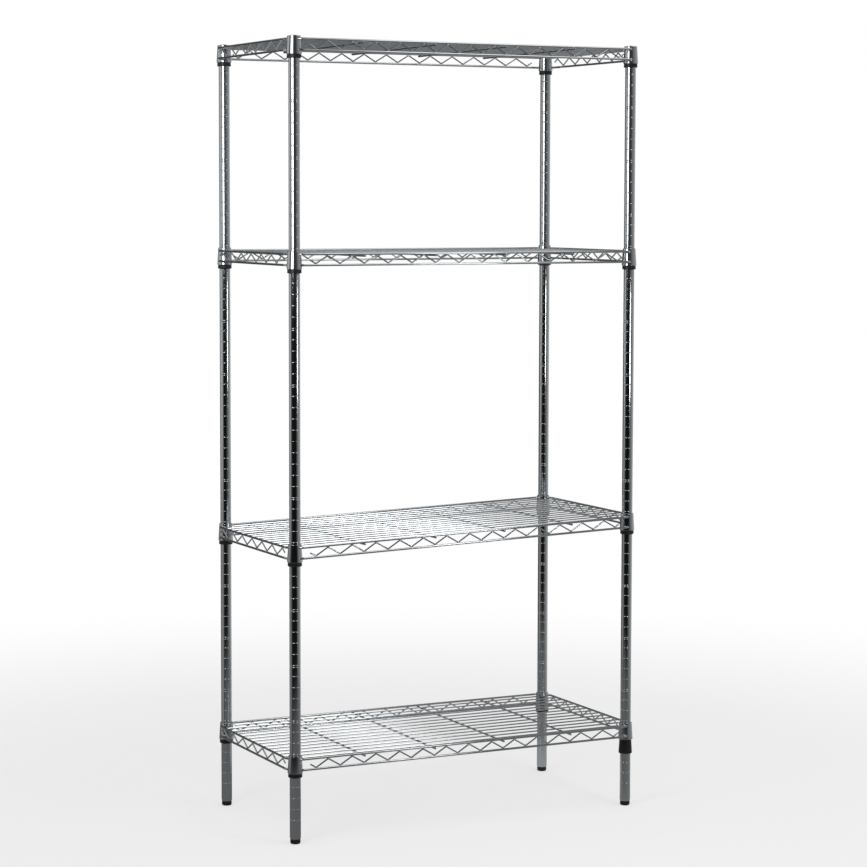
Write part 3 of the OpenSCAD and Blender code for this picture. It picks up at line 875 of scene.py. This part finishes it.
def carpet_glow(place):
    outer = ramped(distance_from_unit(place), low=1.2, high=2.6)
    return outer.mix(round_about(place, NEAR_GREYS), round_about(place, LOW_GREYS))


def ceiling_glow(place):
    return round_about(place, CEILING_GREYS)


def panel_glow(place):
    across = ramped(part_of(place, "Y"), PANEL_FRONT, PANEL_FRONT + PANEL_FADE)
    rise = ramped(part_of(place, "Z"), low=0.4, high=1.1)
    return (across * (rise * 0.3 + 0.26) + PANEL_DARK).mix((0, 0, 0, 1), WHITE)


def seen_in_chrome_only(piece, name, glow_of):
    """Makes a screen of a piece: it glows in the grey that glow_of gives, and only chrome sees it."""
    finish, shader, place = new_finish(name)
    tree = finish.node_tree
    glow = tree.nodes.new("ShaderNodeEmission")
    tree.links.new(glow_of(place).out, glow.inputs["Color"])
    tree.links.new(glow.outputs[0], tree.nodes["Material Output"].inputs[0])
    finish.cycles.emission_sampling = "NONE"
    piece.data.materials.append(finish)
    piece.name = name
    piece.visible_camera = piece.visible_diffuse = piece.visible_shadow = False
    piece.visible_transmission = False


# %% Put up the wall, lay the carpet and hang the ceiling
def all_round(name, points):
    """Spins a chain of points once round the unit."""
    piece = chain(name, points)
    edit(piece)
    bpy.ops.mesh.spin(steps=64, angle=math.radians(360), center=(0, 0, 0), axis=(0, 0, 1))
    bpy.ops.mesh.select_all(action="SELECT")
    bpy.ops.mesh.remove_doubles(threshold=MERGE)
    return done()


outward = Vector((SCREEN_R, 0, 0))
above = Vector((0, 0, SCREEN_TOP))
carpet_h = Vector((0, 0, 0.0005))
wall = all_round("wall", [outward, outward + above])
seen_in_chrome_only(wall, "screen_wall", wall_glow)
carpet = all_round("carpet", [carpet_h, outward + carpet_h])
seen_in_chrome_only(carpet, "screen_carpet", carpet_glow)
ceiling = all_round("ceiling", [above, outward + above])
seen_in_chrome_only(ceiling, "screen_ceiling", ceiling_glow)
print("wall", SCREEN_TOP, "m high, carpet and ceiling", SCREEN_R, "m in radius")

# %% Stand the panel on the left
bpy.ops.object.select_all(action="DESELECT")
panel_middle = (PANEL_X, (PANEL_FRONT + PANEL_BACK) / 2, PANEL_TOP / 2)
bpy.ops.mesh.primitive_plane_add(size=1, location=panel_middle, rotation=(0, math.pi / 2, 0))
panel = bpy.context.object
panel.scale = (PANEL_TOP, PANEL_BACK - PANEL_FRONT, 1)
bpy.ops.object.transform_apply(location=True, rotation=True, scale=True)
seen_in_chrome_only(panel, "screen_panel", panel_glow)
for piece in (wall, carpet, ceiling, panel):
    corners = [tuple(round(c, 2) for c in piece.data.vertices[i].co) for i in (0, 1, -2, -1)]
    print(piece.name, len(piece.data.polygons), "faces,", corners)

# %% [markdown]
# Soft lights stand in between. A large one high at the front left draws the bright stripe down the
# upper posts, and a small one at the front right draws the short stripe at middle height. The small one
# leaves out the wires of the top shelf, which it would bleach from below. A weak one hangs above.

# %% Soft lights
def soft_light(name, place, aim, width, tall, radiance):
    """An area light at a place, turned towards aim, as bright as radiance times white."""
    bpy.ops.object.light_add(type="AREA", location=place)
    lamp = bpy.context.object
    lamp.name = name
    lamp.data.shape = "RECTANGLE"
    lamp.data.size, lamp.data.size_y = width, tall
    lamp.data.energy = radiance * math.pi * width * tall
    lamp.rotation_euler = (aim - place).to_track_quat("-Z", "Y").to_euler()
    lamp.visible_camera = False
    print(name, [round(c, 2) for c in lamp.location], width, "by", tall, "m")
    return lamp


def from_the_side(name, angle, distance, height, width, tall, radiance):
    """A light that shines level at the unit from an angle, in degrees left of its front."""
    aim = Vector((0, 0, height))
    return soft_light(name, direction(angle) * distance + aim, aim, width, tall, radiance)


def from_above(name, place, width, tall, radiance):
    """A light that shines straight down."""
    return soft_light(name, Vector(place), Vector((place[0], place[1], 0)), width, tall, radiance)


from_the_side(
    "front_left_light", angle=58, distance=1.9, height=1.86, width=0.8, tall=1.1, radiance=5.0,
)
right_lamp = from_the_side(
    "front_right_light", angle=-22.5, distance=1.57, height=1.045, width=0.24, tall=0.30, radiance=8.0,
)
flagged = bpy.data.collections.new("flagged off the front right light")
for kind in ("rails", "zigzags", "deck_wires", "ribs"):
    flagged.objects.link(bpy.data.objects[f"shown_top_{kind}"])
for member in flagged.collection_objects:
    member.light_linking.link_state = "EXCLUDE"
right_lamp.light_linking.receiver_collection = flagged
from_above("top_light", (0.95, -1.4, 3.2), width=1.0, tall=2.4, radiance=1.8)

# %% [markdown]
# The decks of the two lower shelves are whiter in the photograph than these lights make them, so two
# more lights above the unit shine on those decks alone.

# %% Whiten the two lower decks
deck_light = from_above("deck_light", (0.85, -0.9, 3.2), width=1.1, tall=5.0, radiance=3.6)
deck_fill = from_above("deck_fill", (0.5, 0.4, 3.3), width=2.6, tall=6.0, radiance=1.0)
lit = bpy.data.collections.new("whitened decks")
for shelf in ("bottom", "lower"):
    lit.objects.link(bpy.data.objects[f"shown_{shelf}_deck_wires"])
deck_light.light_linking.receiver_collection = lit
deck_fill.light_linking.receiver_collection = lit

# %% [markdown]
# The plain view transform keeps white white. The others would turn the background grey.

# %% Show colours as they are
bpy.context.scene.view_settings.view_transform = "Standard"
